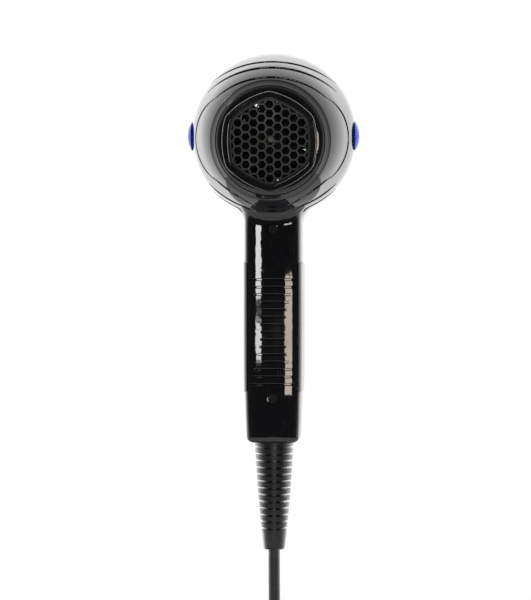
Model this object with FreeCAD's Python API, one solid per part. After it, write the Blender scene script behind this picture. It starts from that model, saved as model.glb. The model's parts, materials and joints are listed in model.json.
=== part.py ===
import FreeCAD, Part
import math
import os
from FreeCAD import Placement, Rotation, Vector

# A professional hair dryer. +Z runs up the handle, +Y is the way the air leaves, +X is to
# the right of somebody standing behind the dryer. The origin is the middle of the hand grip.
# Millimetres throughout. Barrel parts are made along +Y about the head's centre, with their
# own "up" as +Z, and on_barrel() puts them on the pitched barrel.

# ---- driving dimensions: head and barrel ----
WALL = 2.4
SEAM = 0.4                    # visible gap between two shells
FIT = 0.15                    # gap all round a piece that drops into another
RUN = 0.05                    # radial gap of a running fit
HEAD_RADIUS = 47.5
NECK_Z = 65.1                 # head's lowest point above the grip's middle
BARREL_PITCH = 7.0            # degrees the outlet points up
DOME_DEPTH = 58.0             # half axis of the rear dome along the barrel
CAP_RADIUS = 33.8             # rear cap's parting circle
HEAD_FRONT = 44.0             # where the front barrel starts
NECKING_RADIUS = 31.5         # radius that the head's front half tapers towards
NECKING_LENGTH = 74.0
BARREL_LENGTH = 74.0
BARREL_END_RADIUS = 27.5
COLLAR_RADIUS = 25.0          # push-on nozzle seat
COLLAR_LENGTH = 11.0
COLLAR_WALL = 1.4
COLLAR_ROOT = 6.0             # collar's length inside the barrel
COLLAR_STEP = 0.4             # how much slimmer the collar is there
SEAT_GAP = 0.3                # from the barrel's end to the nozzle seat
SPIGOT_LENGTH = 8.0
CREASE_RADIUS = 1.25          # the outer creases; the inner ones are slimmer
INNER_CREASE_RADIUS = 1.0
CREASE_FADE = 0.8             # share of its radius by which a crease rises at its ends

# ---- driving dimensions: rear cap and grille ----
CAP_SKIRT = 8.0
RIM_APOTHEM = 26.45
RIM_CORNER = 8.0
RIM_SIDE = 46.0               # radius of the hexagon's bowed sides
MOAT_WIDTH = 3.7              # ring round the rim where the dome flattens out
MOAT_SLOPE = 6.0              # its slope at the rim, in degrees
RIM_PROUD = 4.35              # rim's face beyond the dome at its outer edge
RIM_ROUND = 0.9
INTAKE_APOTHEM = 22.35
INTAKE_CORNER = 7.0
INTAKE_SIDE = 60.0
GRILLE_DEPTH = 3.0            # recess of the grille below the rim's face
GRILLE_THICKNESS = 2.2
CELL_PITCH = 5.13
CELL_OPENING = 4.15           # across flats
GRILLE_BORDER = 0.9

# ---- driving dimensions: motor, fan and heater ----
DUCT_RADIUS = 28.4
DUCT_WALL = 1.2
DUCT_INSET = 4.8              # duct's rear end inside the head's rear opening
CAN_RADIUS = 17.0
CAN_WALL = 1.2
CAN_REAR = -16.0
CAN_LENGTH = 38.0
SHAFT_RADIUS = 1.5
BEARING_RADIUS = 3.4
BEARING_LENGTH = 3.0
MAGNET_THICKNESS = 3.0
ARMATURE_RADIUS = 11.6
ARMATURE_LENGTH = 17.0
FAN_LENGTH = 12.0
FAN_HUB = 9.5
FAN_TIP_GAP = 0.7
FAN_BLADES = 11
VANES = 7
HEATER_CLEARANCE = 12.0       # barrel length that the heater leaves free
HEATER_HALF_WIDTH = 18.4
MICA = 0.8
COIL_ROWS = 9
COIL_WIRE = 0.45

# ---- driving dimensions: handle ----
GRIP_HALF_WIDTH = 16.7
GRIP_HALF_DEPTH = 19.5
HANDLE_BOTTOM = -63.4
HANDLE_SQUARENESS = 6.5
BOTTOM_ROUND = 4.0
NECK_ROUND = 10.0
COVER_MARGIN = 2.4            # from the cover's edge to the handle's side
COVER_TOP = 64.5
COVER_CORNER = 7.0
COVER_DEPTH = 9.0             # how far behind the axis the cover's edge lies
RIB_COUNT = 15
RIB_PITCH = 4.25
RIB_WIDTH = 0.8
RIB_DEPTH = 0.8
RIB_LIP = 0.4
RIB_SHORT = 6.8               # half length of the middle groove
INLAY_TOP = 39.7
INLAY_BOTTOM = -34.0
INLAY_FRONT = 9.0
INLAY_DEPTH = 1.0
INLAY_PROUD = 0.5

# ---- driving dimensions: screws, switches and side caps ----
SCREW_Z = (58.2, -38.3)
SCREW_RECESS = 3.1
SCREW_RECESS_DEPTH = 6.5
SCREW_SHANK = 1.45
SCREW_HEAD = 2.7
BOSS_RADIUS = 3.8
SIDE_CAP_RADIUS = 8.2
SIDE_CAP_PROUD = 1.7
SIDE_CAP_SINK = 0.7            # cap's edge below the head's widest line
SIDE_CAP_HOLLOW = 2.4
SIDE_CAP_Y = -8.0
SIDE_CAP_SEAT = 2.5           # depth of the pocket under a side cap
PANEL_HALF_WIDTH = 9.0
PANEL_TOP = 51.0
PANEL_BOTTOM = -12.5
PANEL_THICKNESS = 5.0
PANEL_PROUD = 0.5
SPEED_Z = 0.0
HEAT_Z = 21.6
ROCKER_HALF_WIDTH = 4.8
ROCKER_HALF_LENGTH = 7.2
ROCKER_RADIUS = 15.0
ROCKER_SWING = 8.0
COOL_Z = 42.0
COOL_RADIUS = 4.6
SPRING_WIRE = 0.5
SPRING_RADIUS = 2.8
SPRING_LENGTH = 6.0

# ---- driving dimensions: boot, cord and plug ----
CORD_RADIUS = 3.3
BOOT_LENGTH = 62.2
BOOT_TOP_RADIUS = 11.2
BOOT_TIP_RADIUS = 6.1
BOOT_NECK_RADIUS = 7.5
BOOT_TIP_LENGTH = 12.1
BOOT_RIBS = 13
BOOT_GAP = 1.4
CLAMP_Z = -52.0
CLAMP_POST = 2.6
CLAMP_SHANK = 1.2
CLAMP_BAR = 3.0               # thickness of the clamp's bar
FLOOR_Z = -238.0
COIL_TURN_RADIUS = 39.6
COIL_COLUMNS = 4
COIL_LAYERS = 3
COIL_CENTRE = Vector(-49.5, 54.8, 0)
TIE_WIDTH = 12.0
TIE_THICKNESS = 1.2
PLUG_RADIUS = 18.0
PLUG_HEADING = 60.0           # degrees from +X
PLUG_ENTRY = Vector(10.0, 84.0, 0)
PLUG_GRIP = 22.0
PLUG_BODY = 24.0
PIN_RADIUS = 2.4
PIN_LENGTH = 19.0
PIN_SPACING = 19.0
PIN_ROOT = 8.0                # pin's length inside the plug
PIN_NECK = 1.9                # pin's radius there

HEAD_Z = NECK_Z + HEAD_RADIUS
COVER_HALF_WIDTH = GRIP_HALF_WIDTH - COVER_MARGIN
SCREW_SEAT = SCREW_RECESS_DEPTH - GRIP_HALF_DEPTH
HEATER_LENGTH = BARREL_LENGTH - HEATER_CLEARANCE
CAP_BORE = CAP_RADIUS - WALL - 0.4
BARREL = Placement(Vector(0, 0, HEAD_Z), Rotation(Vector(1, 0, 0), BARREL_PITCH))
BOOT_TIP = HANDLE_BOTTOM - BOOT_LENGTH
CLAMP_REACH = CORD_RADIUS + BOSS_RADIUS - 0.4
DOME_REAR = -DOME_DEPTH * math.sqrt(1 - (CAP_RADIUS / HEAD_RADIUS) ** 2)
RIM_DOME = -DOME_DEPTH * math.sqrt(1 - (RIM_APOTHEM / HEAD_RADIUS) ** 2)
RIM_FACE = RIM_DOME - RIM_PROUD
DUCT_REAR = DOME_REAR + DUCT_INSET
BRUSH_Y = CAN_REAR + CAN_LENGTH - 8
BARREL_END = HEAD_FRONT + BARREL_LENGTH
COLLAR_END = BARREL_END + COLLAR_LENGTH
PANEL_FACE = GRIP_HALF_DEPTH + PANEL_PROUD
CORD_LAYER = 2 * CORD_RADIUS
PLUG_FACE = PLUG_GRIP + PLUG_BODY
BUTTON_REAR = PANEL_FACE - PANEL_THICKNESS - 3.4
ROCKER_PIVOT = PANEL_FACE + 1.2 - ROCKER_RADIUS
PIVOT_PIN = 1.3

# The free cord's route from the boot's tip to the coil, and from the coil to the plug.
CORD_DROP = [(0, 0, -119.6), (0, 0, -143), (0.3, -1.2, -165), (0.3, 0.8, -186),
             (0.1, 11.8, -208), (0, 33.3, -221.5), (0, 54.8, -221.5)]
CORD_TAIL = [(-28.5, 33.8, -217.5), (-16.5, 46, -213.4), (-1.5, 64, -213.4), (5.5, 76.4, -218),
             (10, 84.2, -220)]


# ---- plain shapes ----
def rod(radius, start, end):
    axis = Vector(*end) - Vector(*start)
    return Part.makeCylinder(radius, axis.Length, Vector(*start), axis)


def rod_y(radius, y0, y1, x=0.0, z=0.0):
    return rod(radius, (x, y0, z), (x, y1, z))


def ring_y(outer, inner, y0, y1):
    return rod_y(outer, y0, y1).cut(rod_y(inner, y0 - 1, y1 + 1))


def block(x0, x1, y0, y1, z0, z1):
    return Part.makeBox(x1 - x0, y1 - y0, z1 - z0, Vector(x0, y0, z0))


def joined(shapes):
    result = shapes[0]
    if len(shapes) > 1:
        result = result.fuse(shapes[1:])
    return result.removeSplitter()


def on_barrel(shape):
    placed = shape.copy()
    placed.Placement = BARREL.multiply(placed.Placement)
    return placed


def around_y(shape, count, first=0.0):
    copies = []
    for index in range(count):
        copy = shape.copy()
        copy.rotate(Vector(0, 0, 0), Vector(0, 1, 0), first + 360.0 * index / count)
        copies.append(copy)
    return copies


def spun(edges, axis=Vector(0, 1, 0)):
    return Part.Face(Part.Wire(edges)).revolve(Vector(0, 0, 0), axis, 360)


def lines(points):
    return [Part.makeLine(Vector(*a), Vector(*b)) for a, b in zip(points, points[1:])]


def outline(points):
    return lines(points + points[:1])


def curve(points, start=None, end=None):
    path = Part.BSplineCurve()
    if start is None:
        path.interpolate(points)
    else:
        path.interpolate(Points=points, InitialTangent=start, FinalTangent=end)
    return path.toShape()


def tube(points, radius, name=None):
    """Straight runs joined by tangent arcs as large as the runs allow."""
    route = [Vector(*point) for point in points]
    edges = []
    here = route[0]
    radii = []
    for before, corner, after in zip(route, route[1:], route[2:]):
        run_in = corner - before
        run_out = after - corner
        turn = run_in.getAngle(run_out)
        setback = 0.45 * min(run_in.Length, run_out.Length)
        radii.append(setback / math.tan(turn / 2))
        u = Vector(run_in).normalize()
        v = Vector(run_out).normalize()
        a = corner - u * setback
        b = corner + v * setback
        towards = (v - u).normalize()
        centre = corner + towards * (setback / math.sin(turn / 2))
        middle = centre - towards * radii[-1]
        edges.append(Part.LineSegment(here, a).toShape())
        edges.append(Part.Arc(a, middle, b).toShape())
        here = b
    edges.append(Part.LineSegment(here, route[-1]).toShape())
    path = Part.Wire(edges)
    section = Part.Wire([Part.makeCircle(radius, route[0], route[1] - route[0])])
    solid = path.makePipeShell([section], True, False)
    if name:
        length = sum(edge.Length for edge in edges)
        ideal = math.pi * radius ** 2 * length
        print(name, "length %.1f" % length, "volume ratio %.4f" % (solid.Volume / ideal))
        print(name, "radii", ["%.0f" % bend for bend in radii])
    return solid


# ---- outside forms ----
def dome_radius(y, inset=0.0):
    return (HEAD_RADIUS - inset) * math.sqrt(max(0.0, 1 - (y / (DOME_DEPTH - inset)) ** 2))


def dome_y(radius, inset=0.0):
    return -(DOME_DEPTH - inset) * math.sqrt(1 - (radius / (HEAD_RADIUS - inset)) ** 2)


def taper_radius(y, inset=0.0):
    swell = 0.5 + 0.5 * math.cos(math.pi * y / NECKING_LENGTH)
    return NECKING_RADIUS - inset + (HEAD_RADIUS - NECKING_RADIUS) * swell


def head_form(inset, y0, y1):
    steps = 6
    rear = [y0 * (1 - i / steps) for i in range(steps + 1)]
    front = [y1 * i / steps for i in range(steps + 1)]
    edges = [curve([Vector(dome_radius(y, inset), y, 0) for y in rear])]
    edges.append(curve([Vector(taper_radius(y, inset), y, 0) for y in front]))
    corners = [(taper_radius(y1, inset), y1, 0), (0, y1, 0), (0, y0, 0)]
    corners.append((dome_radius(y0, inset), y0, 0))
    return on_barrel(spun(edges + lines(corners)))


def handle_section(z, half_width, half_depth):
    points = []
    count = 28
    for i in range(count):
        c = math.cos(2 * math.pi * i / count)
        s = math.sin(2 * math.pi * i / count)
        x = half_width * math.copysign(abs(c) ** (2 / HANDLE_SQUARENESS), c)
        y = half_depth * math.copysign(abs(s) ** (2 / HANDLE_SQUARENESS), s)
        points.append(Vector(x, y, z))
    path = Part.BSplineCurve()
    path.interpolate(Points=points, PeriodicFlag=True)
    return Part.Wire([path.toShape()])


def handle_form(inset):
    top = HEAD_Z - 0.5 * HEAD_RADIUS
    spread = [(0.0, -1.3, -2.2), (0.09, -0.6, -1.0), (0.25, -0.1, -0.3), (0.42, 0, -0.5),
              (0.61, 0, 0), (0.8, 0, 0.5), (1.0, 0, 1.0)]
    sections = []
    for share, wider, deeper in spread:
        z = HANDLE_BOTTOM + share * (top - HANDLE_BOTTOM)
        if share == 0.0:
            z += inset
        half_width = GRIP_HALF_WIDTH + wider - inset
        sections.append(handle_section(z, half_width, GRIP_HALF_DEPTH + deeper - inset))
    return Part.makeLoft(sections, True, False)


def body_form():
    """Head and handle in one, with the neck and the handle's bottom rounded."""
    handle = handle_form(0.0)
    foot = [e for e in handle.Edges if e.BoundBox.ZMax < HANDLE_BOTTOM + 0.01]
    handle = handle.makeFillet(BOTTOM_ROUND, foot)
    form = head_form(0.0, DOME_REAR, HEAD_FRONT).fuse(handle)
    low = HEAD_Z - HEAD_RADIUS - 6
    high = HEAD_Z - 0.6 * HEAD_RADIUS
    reach = GRIP_HALF_WIDTH + 3
    neck = []
    for edge in form.Edges:
        box = edge.BoundBox
        if box.ZMin > low and box.ZMax < high and box.XMax < reach and box.XMin > -reach:
            neck.append(edge)
    return form.makeFillet(NECK_ROUND, neck)


def bowed_hexagon(apothem, side, corner, y0, y1):
    """A prism along Y with rounded corners at top and bottom and sides that bow outwards."""
    offset = apothem - side
    lean = math.cos(math.pi / 6)
    reach = offset * lean + math.sqrt((side - corner) ** 2 - (offset * math.sin(math.pi / 6)) ** 2)
    joint = math.atan2(reach * math.sin(math.pi / 6), reach * lean - offset)

    def point(turn, angle, centre, radius):
        along = centre + radius * math.cos(angle)
        across = radius * math.sin(angle)
        x = along * math.cos(turn) - across * math.sin(turn)
        return Vector(x, y0, along * math.sin(turn) + across * math.cos(turn))

    edges = []
    for index in range(6):
        turn = math.pi * index / 3
        ends = [point(turn, angle, offset, side) for angle in (-joint, 0, joint)]
        edges.append(Part.Arc(*ends).toShape())
        following = point(turn + math.pi / 3, -joint, offset, side)
        tip = point(turn + math.pi / 6, 0, reach, corner)
        edges.append(Part.Arc(ends[2], tip, following).toShape())
    return Part.Face(Part.Wire(edges)).extrude(Vector(0, y1 - y0, 0))


def on_dome(x, z, lift):
    radius = math.hypot(x, z)
    grown = (radius + lift) / radius
    return Vector(x * grown, dome_y(radius) - 0.4 * lift, z * grown)


def crease(start, middle, end, radius):
    """A groove that grows shallower towards both ends, by its axis rising from the surface."""
    rise = CREASE_FADE * radius
    arc = Part.Arc(on_dome(*start, rise), on_dome(*middle, 0.0), on_dome(*end, rise)).toShape()
    tangent = arc.tangentAt(arc.FirstParameter)
    section = Part.Wire([Part.makeCircle(radius, arc.Vertexes[0].Point, tangent)])
    return on_barrel(Part.Wire([arc]).makePipeShell([section], True, False))


def creases():
    """Three nested arcs above and below, the inner ones meeting a bow at each side."""
    tools = []
    arcs = ((0.747, 0.634, 0.905, 0.905, CREASE_RADIUS),
            (0.762, 0.545, 0.842, 0.848, CREASE_RADIUS),
            (0.690, 0.445, 0.735, 0.778, INNER_CREASE_RADIUS))
    for *shares, radius in arcs:
        x, z, top, bottom = [share * HEAD_RADIUS for share in shares]
        tools.append(crease((-x, z), (0, top), (x, z), radius))
        for side in (-1, 1):
            inner = (side * 9.0, -bottom)
            lean = 0.5 * (x + 9.0)
            reach = math.hypot(x, z) * 0.45 + top * 0.55
            depth = -math.sqrt(reach ** 2 - lean ** 2)
            tools.append(crease((side * x, -z), (side * lean, depth), inner, radius))
    x, z, bow = [share * HEAD_RADIUS for share in (0.650, 0.484, 0.909)]
    for side in (-1, 1):
        ends = (side * x, z), (side * x, -z)
        tools.append(crease(ends[0], (side * bow, 0.0), ends[1], INNER_CREASE_RADIUS))
    return tools


# ---- housing, cover and inlays ----
def cover_prism(gap):
    half = COVER_HALF_WIDTH + gap
    top = COVER_TOP + gap
    bottom = HANDLE_BOTTOM - 5
    radius = COVER_CORNER + gap
    plate = block(-half, half, -2 * GRIP_HALF_DEPTH, -COVER_DEPTH + gap, bottom, top)
    edges = []
    for edge in plate.Edges:
        box = edge.BoundBox
        if box.YLength > 1 and box.ZMin > top - 0.01:
            edges.append(edge)
    return plate.makeFillet(radius, edges)


def inlay_prism(side, gap):
    """A leaf with its straight edge along the rear cover and its bow towards the front."""
    rear = -GRIP_HALF_DEPTH
    front = INLAY_FRONT + gap
    top = INLAY_TOP + gap
    bottom = INLAY_BOTTOM - gap
    middle = 0.5 * (top + bottom)
    x = side * (COVER_HALF_WIDTH + 2 * FIT - gap)
    low = Vector(x, rear, bottom)
    high = Vector(x, rear, top)
    shoulder = -COVER_DEPTH
    tip_low = Vector(x, shoulder, bottom)
    tip_high = Vector(x, shoulder, top)
    arc = Part.Arc(tip_high, Vector(x, front, middle), tip_low).toShape()
    sides = [Part.makeLine(tip_low, low), Part.makeLine(low, high), Part.makeLine(high, tip_high)]
    face = Part.Face(Part.Wire(sides + [arc]))
    return face.extrude(Vector(side * GRIP_HALF_WIDTH, 0, 0))


def inlay(side):
    skin = handle_form(-INLAY_PROUD).cut(handle_form(INLAY_DEPTH))
    return skin.common(inlay_prism(side, 0.0))


def cover_bosses():
    """Posts from the front wall that the rear cover's screws bite into."""
    posts = []
    for z in SCREW_Z:
        posts.append(rod_y(BOSS_RADIUS, SCREW_SEAT + 2, GRIP_HALF_DEPTH - 1.5, 0, z))
    return posts


def clamp_posts():
    posts = []
    for side in (-1, 1):
        posts.append(rod_y(CLAMP_POST, -CORD_RADIUS, GRIP_HALF_DEPTH - 2.5,
                           side * CLAMP_REACH, CLAMP_Z))
    return posts


def main_housing(form):
    shell = form.cut([head_form(WALL, DOME_REAR - 1, HEAD_FRONT + 1), handle_form(WALL)])
    seats = []
    for side in (-1, 1):
        floor = side * (HEAD_RADIUS - 5.0)
        seats.append(rod(SIDE_CAP_RADIUS + 1.8, (floor, SIDE_CAP_Y, 0),
                         (side * (HEAD_RADIUS - 1.2), SIDE_CAP_Y, 0)))
    shell = shell.fuse([on_barrel(seat).common(form) for seat in seats])
    posts = joined(cover_bosses() + clamp_posts()).common(form)
    shell = shell.fuse(posts)
    tools = [on_barrel(rod_y(CAP_BORE, DOME_REAR - 5, DOME_REAR + 12))]
    tools.append(cover_prism(FIT))
    for side in (-1, 1):
        outer = side * (HEAD_RADIUS + 5)
        floor = side * (HEAD_RADIUS - SIDE_CAP_SEAT)
        inner = side * (HEAD_RADIUS - 8)
        recess = rod(SIDE_CAP_RADIUS + FIT, (floor, SIDE_CAP_Y, 0), (outer, SIDE_CAP_Y, 0))
        hole = rod(SCREW_SHANK + FIT, (inner, SIDE_CAP_Y, 0), (outer, SIDE_CAP_Y, 0))
        tools += [on_barrel(recess), on_barrel(hole)]
        pocket = handle_form(-5.0).cut(handle_form(INLAY_DEPTH + RUN))
        tools.append(pocket.common(inlay_prism(side, FIT)))
    for z in SCREW_Z:
        tools.append(rod_y(SCREW_SHANK + RUN, SCREW_SEAT, 2, 0, z))
    for side in (-1, 1):
        tools.append(rod_y(CLAMP_SHANK + RUN, -CORD_RADIUS - 1, 5, side * CLAMP_REACH, CLAMP_Z))
    tools.append(block(-PANEL_HALF_WIDTH - FIT, PANEL_HALF_WIDTH + FIT,
                       PANEL_FACE - PANEL_THICKNESS - 1, PANEL_FACE + 5,
                       PANEL_BOTTOM - FIT, PANEL_TOP + FIT))
    tools.append(rod(BOOT_NECK_RADIUS + FIT, (0, 0, HANDLE_BOTTOM - 1),
                     (0, 0, HANDLE_BOTTOM + WALL + 1)))
    shell = shell.cut(tools)
    for groove in creases():
        shell = shell.cut(groove)
    return shell


def rib_grooves():
    """Fine cross grooves, long at both ends of the grip and short in its middle."""
    slots = []
    for index in range(RIB_COUNT):
        place = index - (RIB_COUNT - 1) / 2
        share = abs(place) / ((RIB_COUNT - 1) / 2)
        half = RIB_SHORT + (COVER_HALF_WIDTH - 1.3 - RIB_SHORT) * share ** 1.6
        z = place * RIB_PITCH
        slots.append(block(-half, half, -2 * GRIP_HALF_DEPTH, 0,
                           z - RIB_WIDTH / 2, z + RIB_WIDTH / 2))
    return [slot.cut(handle_form(RIB_DEPTH)) for slot in slots]


def handle_rear_cover(form):
    shell = form.cut(handle_form(WALL)).common(cover_prism(0.0))
    shell = max(shell.Solids, key=lambda solid: solid.Volume)
    cups = []
    for z in SCREW_Z:
        cups.append(rod_y(SCREW_RECESS + 1.6, -GRIP_HALF_DEPTH + 1.0, SCREW_SEAT + 2, 0, z))
    shell = shell.fuse(joined(cups).common(form))
    tools = rib_grooves()
    for z in SCREW_Z:
        tools.append(rod_y(SCREW_RECESS, -2 * GRIP_HALF_DEPTH, SCREW_SEAT, 0, z))
        tools.append(rod_y(SCREW_SHANK + FIT, SCREW_SEAT - 1, SCREW_SEAT + 3, 0, z))
    shell = shell.cut(tools)
    near = 0.5 * RIB_COUNT * RIB_PITCH
    core = handle_form(RIB_LIP)
    lips = []
    for line in shell.Edges:
        box = line.BoundBox
        if box.YMin > -GRIP_HALF_DEPTH + 1.0:
            continue
        middle = line.valueAt(0.5 * (line.FirstParameter + line.LastParameter))
        grooved = box.ZLength < 0.01 and box.XLength > 2 * RIB_SHORT - 2 and abs(middle.z) < near
        round_hole = min(box.XLength, box.ZLength) > 2 * SCREW_RECESS - 0.1
        if grooved and not core.isInside(middle, 0.01, True):
            lips.append(line)
        elif round_hole and box.ZLength < 2 * SCREW_RECESS + 0.1:
            lips.append(line)
    return shell.makeFillet(RIB_LIP, lips)


def pan_screw(head, shank, length, slot):
    """A screw along +Y with its seat at the origin and a cross in its head."""
    top = Part.makeCylinder(head, 2.0, Vector(0, -2.0, 0), Vector(0, 1, 0))
    shaft = rod_y(shank, -0.5, length)
    across = block(-slot, slot, -2.5, -1.0, -0.35, 0.35)
    upright = block(-0.35, 0.35, -2.5, -1.0, -slot, slot)
    return top.fuse(shaft).cut([across, upright])


def cover_screws():
    screws = []
    for z in SCREW_Z:
        screw = pan_screw(SCREW_HEAD, SCREW_SHANK, 14.0, 1.6)
        screw.translate(Vector(0, SCREW_SEAT, z))
        screws.append(screw)
    return screws


# ---- rear cap ----
def moat_points():
    """From the dome at the moat's edge inwards, its slope easing off to MOAT_SLOPE."""
    radius = RIM_APOTHEM + MOAT_WIDTH
    y = dome_y(radius)
    step = MOAT_WIDTH / 8
    steep = math.atan2(dome_y(radius) - dome_y(radius - step), step)
    points = []
    for index in range(9):
        points.append(Vector(radius, y, 0))
        share = (index + 0.5) / 8
        slope = steep + (math.radians(MOAT_SLOPE) - steep) * min(1.0, 1.2 * share)
        radius -= step
        y -= step * math.tan(slope)
    return points


def rear_cap():
    edge = CAP_RADIUS - 0.2
    inner_edge = CAP_BORE
    moat = moat_points()
    middle = 0.5 * (edge + moat[0].x)
    rim_line = Vector(edge, dome_y(edge) - SEAM, 0)
    edges = [curve([rim_line, Vector(middle, dome_y(middle), 0)] + moat)]
    foot = moat[-1]
    rear = foot.y
    inner = foot.x - 2
    corners = [(foot.x, rear, 0), (inner, rear, 0), (inner, rear + 4.5, 0)]
    corners.append((inner_edge, rim_line.y + 0.4, 0))
    corners.append((edge, rim_line.y, 0))
    disc = spun(edges + lines(corners))
    rim = bowed_hexagon(RIM_APOTHEM, RIM_SIDE, RIM_CORNER, RIM_FACE, rear + 4.5)
    skirt = ring_y(inner_edge - 0.2, inner_edge - 2.0, DOME_REAR - 4.0, DOME_REAR + CAP_SKIRT)
    cap = joined([disc, rim, skirt])
    seat = RIM_FACE + GRILLE_DEPTH + GRILLE_THICKNESS
    mouth = bowed_hexagon(INTAKE_APOTHEM, INTAKE_SIDE, INTAKE_CORNER, RIM_FACE - 5, seat)
    throat = bowed_hexagon(INTAKE_APOTHEM - 0.9, INTAKE_SIDE, INTAKE_CORNER - 0.9, seat - 1, 0)
    cap = cap.cut([mouth, throat])
    face = []
    for edge in cap.Edges:
        box = edge.BoundBox
        if box.YMax < RIM_FACE + 0.01:
            face.append(edge)
    return on_barrel(cap.makeFillet(RIM_ROUND, face))


def intake_grille():
    front = RIM_FACE + GRILLE_DEPTH
    back = front + GRILLE_THICKNESS - RUN
    gap = 0.1
    plate = bowed_hexagon(INTAKE_APOTHEM - gap, INTAKE_SIDE, INTAKE_CORNER - gap, front, back)
    inset = GRILLE_BORDER
    clip = bowed_hexagon(INTAKE_APOTHEM - inset, INTAKE_SIDE, INTAKE_CORNER - inset,
                         front - 1, back + 1)
    column = CELL_PITCH * math.cos(math.pi / 6)
    radius = CELL_OPENING / math.sqrt(3)
    cells = []
    reach = int(INTAKE_APOTHEM / column) + 1
    for i in range(-reach, reach + 1):
        for j in range(-6, 7):
            x = i * column
            z = (j + 0.5 * (i % 2)) * CELL_PITCH
            if math.hypot(x, z) > INTAKE_APOTHEM + 3:
                continue
            corners = []
            for k in range(6):
                angle = math.pi * k / 3
                corners.append((x + radius * math.cos(angle), front - 0.5,
                                z + radius * math.sin(angle)))
            cell = Part.Face(Part.Wire(outline(corners)))
            cell = cell.extrude(Vector(0, GRILLE_THICKNESS + 1, 0)).common(clip)
            if cell.Volume > 1.2 * (GRILLE_THICKNESS + 1):
                cells.append(cell)
    return on_barrel(plate.cut(cells))


def side_cap(side):
    """A domed disc that hides a screw, its edge level with the head's rear half."""
    base = HEAD_RADIUS - SIDE_CAP_SEAT + RUN
    top = HEAD_RADIUS + SIDE_CAP_PROUD
    edge = HEAD_RADIUS - SIDE_CAP_SINK
    r = SIDE_CAP_RADIUS
    rise = top - edge
    ball = (r ** 2 + rise ** 2) / (2 * rise)
    middle = Vector(r / 2, top - ball + math.sqrt(ball ** 2 - r ** 2 / 4), 0)
    crown = Part.Arc(Vector(r, edge, 0), middle, Vector(0, top, 0)).toShape()
    hollow = base + SIDE_CAP_HOLLOW
    inside = lines([(0, top, 0), (0, hollow, 0), (SCREW_HEAD + 2.9, hollow, 0),
                    (SCREW_HEAD + 2.9, base, 0), (r, base, 0), (r, edge, 0)])
    cap = spun([crown] + inside)
    cap.rotate(Vector(0, 0, 0), Vector(0, 0, 1), -90 * side)
    cap.translate(Vector(0, SIDE_CAP_Y, 0))
    return on_barrel(cap)


def side_screws():
    screws = []
    for side in (-1, 1):
        screw = pan_screw(SCREW_HEAD, SCREW_SHANK, 12.0, 1.6)
        screw.rotate(Vector(0, 0, 0), Vector(0, 0, 1), 90 * side)
        screw.translate(Vector(side * (HEAD_RADIUS - SIDE_CAP_SEAT), SIDE_CAP_Y, 0))
        screws.append(on_barrel(screw))
    return screws


# ---- front barrel and outlet ----
def barrel_profile(inset):
    start = Vector(taper_radius(HEAD_FRONT) - inset, HEAD_FRONT + SEAM, 0)
    step = 0.01
    slope = (taper_radius(HEAD_FRONT) - taper_radius(HEAD_FRONT - step)) / step
    end = Vector(BARREL_END_RADIUS - inset, HEAD_FRONT + 0.7 * BARREL_LENGTH, 0)
    reach = 0.6 * BARREL_LENGTH
    return start, end, Vector(slope, 1, 0) * reach, Vector(0, 1, 0) * reach


def barrel_form(inset, y1):
    start, end, leave, arrive = barrel_profile(inset)
    edges = [curve([start, end], leave, arrive)]
    corners = [tuple(end), (end.x, y1, 0), (0, y1, 0), (0, start.y, 0), tuple(start)]
    return spun(edges + lines(corners))


def front_barrel():
    outer = barrel_form(0.0, BARREL_END)
    outer_edge = [e for e in outer.Edges if e.BoundBox.YMin > BARREL_END - 0.01]
    outer = outer.makeFillet(1.2, outer_edge)
    shell = outer.cut(barrel_form(WALL, BARREL_END - 2.0))
    spigot_outer = taper_radius(HEAD_FRONT) - WALL - 2 * FIT
    spigot_inner = spigot_outer - 2.0
    root = HEAD_FRONT + SEAM
    spigot = ring_y(spigot_outer, spigot_inner, HEAD_FRONT - SPIGOT_LENGTH, root + 2.0)
    shoulder = ring_y(taper_radius(HEAD_FRONT) - 1.0, spigot_inner, root, root + 2.0)
    solid = joined([shell, spigot, shoulder])
    bore = COLLAR_RADIUS - COLLAR_STEP + 0.1
    solid = solid.cut(rod_y(bore, BARREL_END - COLLAR_ROOT - 0.1, BARREL_END + 5))
    return on_barrel(solid)


def outlet_collar():
    inner = COLLAR_RADIUS - COLLAR_WALL
    root = BARREL_END - COLLAR_ROOT
    slim = COLLAR_RADIUS - COLLAR_STEP
    sleeve = ring_y(slim, inner, root, COLLAR_END - 1)
    seat = ring_y(COLLAR_RADIUS, inner, BARREL_END + SEAT_GAP, COLLAR_END)
    flange = ring_y(slim, inner - 1.2, root, root + 1.2)
    collar = joined([sleeve, seat, flange])
    lip = [e for e in collar.Edges if e.BoundBox.YMin > COLLAR_END - 0.01]
    return on_barrel(collar.makeFillet(0.6, lip))


def outlet_grille():
    y0 = BARREL_END - COLLAR_ROOT + 1.3
    y1 = y0 + 2.4
    outer = COLLAR_RADIUS - COLLAR_WALL - 0.1
    rings = [ring_y(outer, outer - 1.2, y0, y1)]
    for share in (0.72, 0.46, 0.2):
        rings.append(ring_y(outer * share, outer * share - 1.1, y0, y1))
    bars = []
    for index in range(8):
        bar = block(outer * 0.17, outer - 0.6, y0, y1, -0.5, 0.5)
        bar.rotate(Vector(0, 0, 0), Vector(0, 1, 0), 45.0 * index)
        bars.append(bar)
    return on_barrel(joined(rings + bars))


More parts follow.
